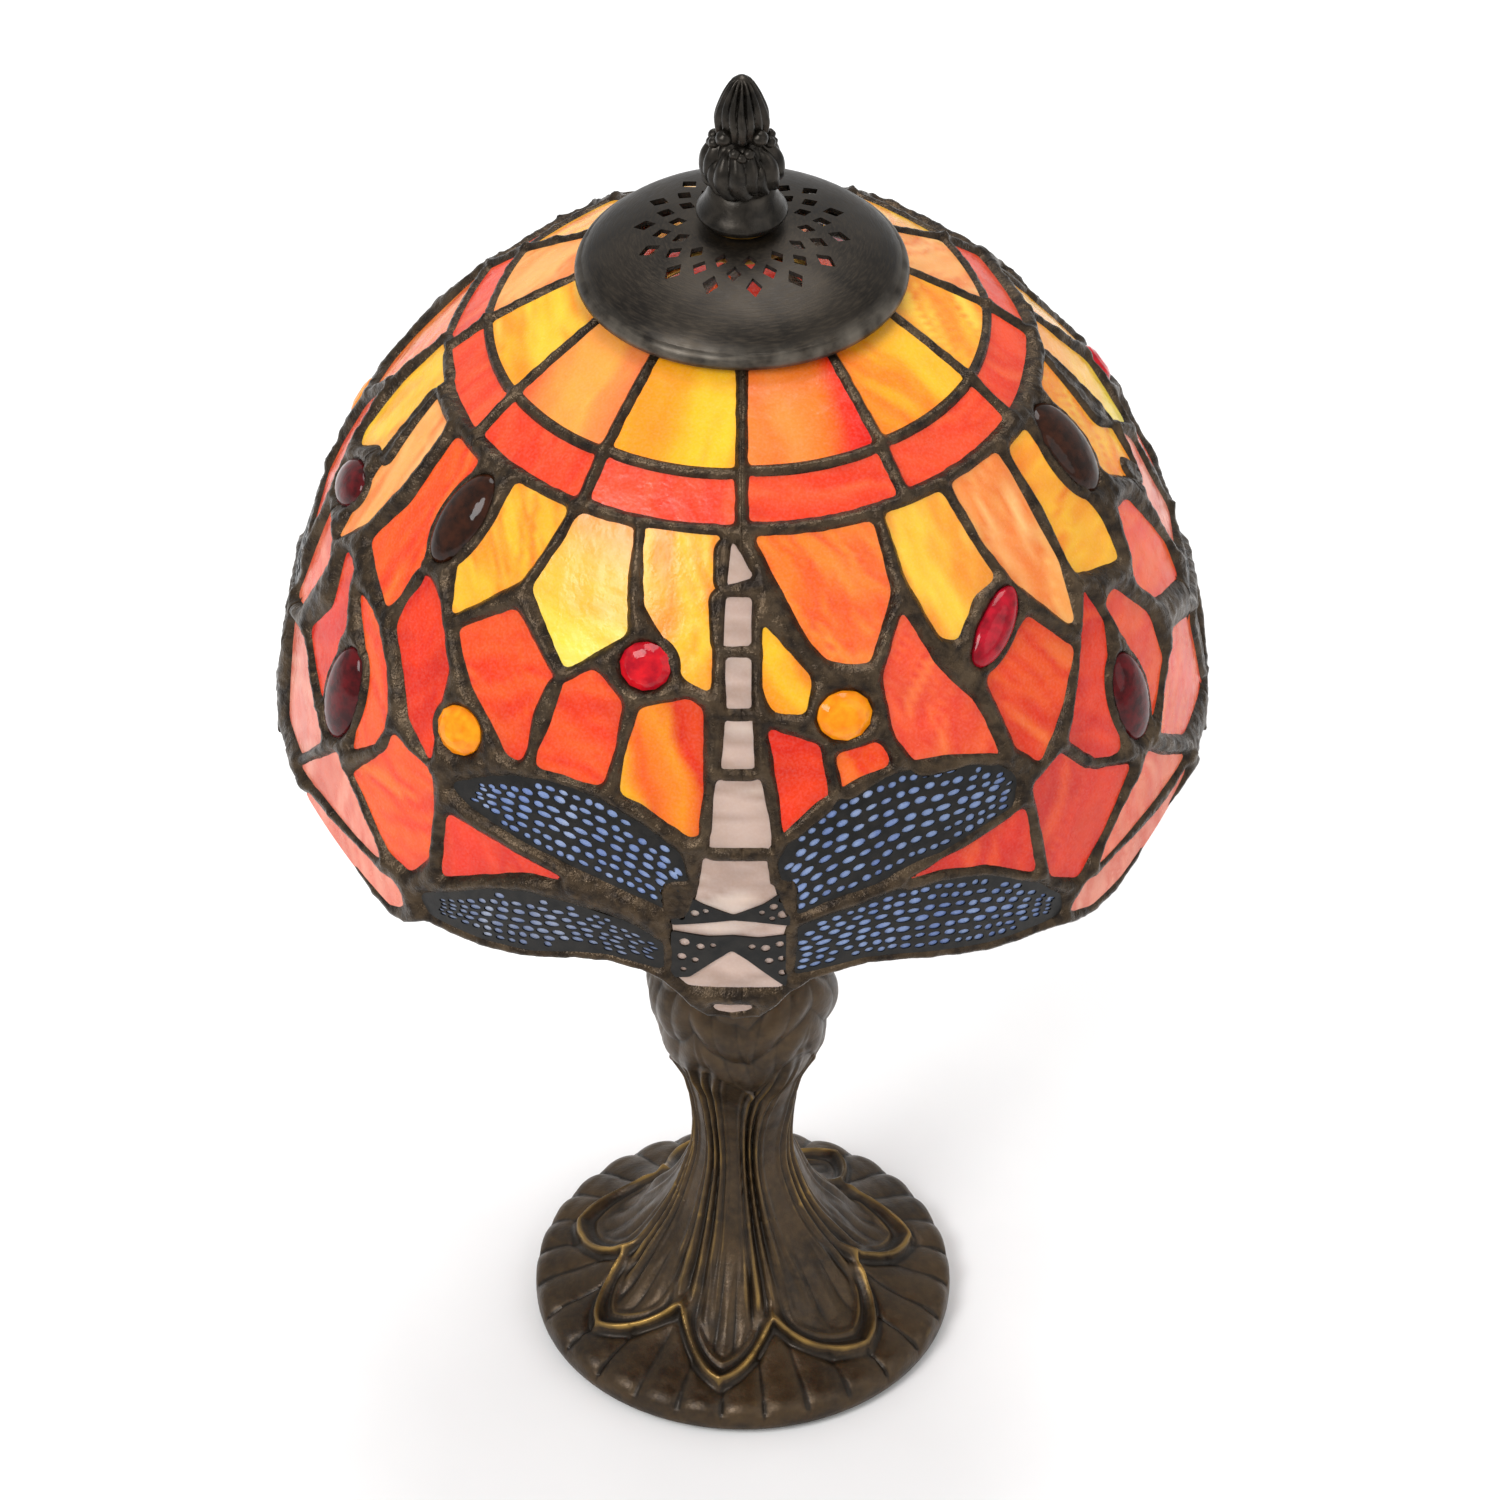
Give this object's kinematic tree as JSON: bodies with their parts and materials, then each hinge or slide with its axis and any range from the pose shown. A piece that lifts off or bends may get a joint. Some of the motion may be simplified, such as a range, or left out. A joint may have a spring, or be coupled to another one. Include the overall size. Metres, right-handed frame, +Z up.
{
  "type": "table lamp",
  "caption": "Table lamp with a leaded art glass dome shade showing dragonflies, on a harp over a cast bronze-finish column and round foot.",
  "frame": {"origin": "centre of the felt pad's underside, on the surface the lamp stands on", "axes": "+Z up along the pipe and the lamp's axis, -Y towards the front dragonfly, +X to its right"},
  "size_m": [0.2075, 0.2076, 0.3487],
  "materials": {
    "antique_bronze": "dark antique bronze with gold rubbed on the ridges",
    "dark_bronze": "brushed dark bronze, worn lighter on the rims",
    "patinated_lead": "solder bead with a dark bronze patina, semi-gloss and uneven",
    "brass": "plain turned and pressed brass",
    "zinc_steel": "zinc-plated steel",
    "aluminium_shell": "pressed aluminium screw shell",
    "phenolic": "black moulded insulator",
    "felt": "dark green felt",
    "frosted_glass": "frosted bulb glass",
    "amber_glass": "streaky amber and yellow opalescent glass",
    "red_glass": "streaky coral red opalescent glass",
    "field_glass": "streaky coral, orange, amber and pink opalescent glass",
    "dragonfly_glass": "periwinkle wing glass and pale pink body glass"
  },
  "bodies": {
    "root": {"base_felt_pad": "felt", "base_casting": "antique_bronze", "cord_bushing": "phenolic", "bottom_hex_nut": "zinc_steel", "bottom_lock_washer": "zinc_steel", "threaded_pipe": "zinc_steel", "column_check_ring": "brass", "harp_saddle": "brass", "harp_wire": "brass", "harp_top_stud": "brass", "socket_cap": "brass", "socket_body": "phenolic", "socket_shell": "brass", "socket_screw_shell": "aluminium_shell", "socket_centre_contact": "brass"},
    "sleeve_left": {"harp_sleeve_left": "brass"},
    "sleeve_right": {"harp_sleeve_right": "brass"},
    "shade_rest": {"shade_rest_washer": "brass"},
    "shade": {"crown_pane_01": "amber_glass", "band_pane_01": "red_glass", "crown_pane_02": "amber_glass", "band_pane_02": "red_glass", "crown_pane_03": "amber_glass", "band_pane_03": "red_glass", "crown_pane_04": "amber_glass", "band_pane_04": "red_glass", "crown_pane_05": "amber_glass", "band_pane_05": "red_glass", "crown_pane_06": "amber_glass", "band_pane_06": "red_glass", "crown_pane_07": "amber_glass", "band_pane_07": "red_glass", "crown_pane_08": "amber_glass", "band_pane_08": "red_glass", "crown_pane_09": "amber_glass", "band_pane_09": "red_glass", "crown_pane_10": "amber_glass", "band_pane_10": "red_glass", "crown_pane_11": "amber_glass", "band_pane_11": "red_glass", "crown_pane_12": "amber_glass", "band_pane_12": "red_glass", "dragonfly_glass_1": "dragonfly_glass", "dragonfly_glass_2": "dragonfly_glass", "dragonfly_glass_3": "dragonfly_glass", "field_glass_1_right": "field_glass", "field_glass_1_left": "field_glass", "field_glass_2_right": "field_glass", "field_glass_2_left": "field_glass", "field_glass_3_right": "field_glass", "field_glass_3_left": "field_glass", "shade_leading": "patinated_lead", "shade_vent_cap": "dark_bronze"},
    "finial_washer": {"finial_washer": "brass"},
    "finial": {"finial": "dark_bronze"},
    "bulb_tip": {"bulb_tip_contact": "zinc_steel"},
    "bulb": {"bulb_insulator": "phenolic", "bulb_screw_base": "aluminium_shell", "bulb_glass": "frosted_glass"}
  },
  "joints": [
    {"name": "sleeve_left_slide", "type": "slide", "parent": "root", "child": "sleeve_left", "axis": [0, 0, 1], "range_m": [0, 0.01]},
    {"name": "sleeve_right_slide", "type": "slide", "parent": "root", "child": "sleeve_right", "axis": [0, 0, 1], "range_m": [0, 0.01]},
    {"name": "shade_turn", "type": "hinge", "parent": "root", "child": "shade_rest", "pos_m": [0, 0, 0.309], "axis": [0, 0, 1], "continuous": true},
    {"name": "shade_lift", "type": "slide", "parent": "shade_rest", "child": "shade", "axis": [0, 0, 1], "range_m": [0, 0.2]},
    {"name": "finial_rise", "type": "slide", "parent": "shade", "child": "finial_washer", "axis": [0, 0, 1], "range_m": [0, 0.008]},
    {"name": "finial_turn", "type": "hinge", "parent": "finial_washer", "child": "finial", "pos_m": [0, 0, 0.3134], "axis": [0, 0, 1], "range_deg": [0, 3062]},
    {"name": "bulb_rise", "type": "slide", "parent": "root", "child": "bulb_tip", "axis": [0, 0, 1], "range_m": [0, 0.016]},
    {"name": "bulb_turn", "type": "hinge", "parent": "bulb_tip", "child": "bulb", "pos_m": [0, 0, 0.16], "axis": [0, 0, 1], "range_deg": [0, 1585]}
  ],
  "couplings": [
    {"joint": "finial_turn", "follows": "finial_rise", "rad_per_m": 6677.1},
    {"joint": "bulb_rise", "follows": "bulb_turn", "m_per_rad": 0.00057757}
  ]
}
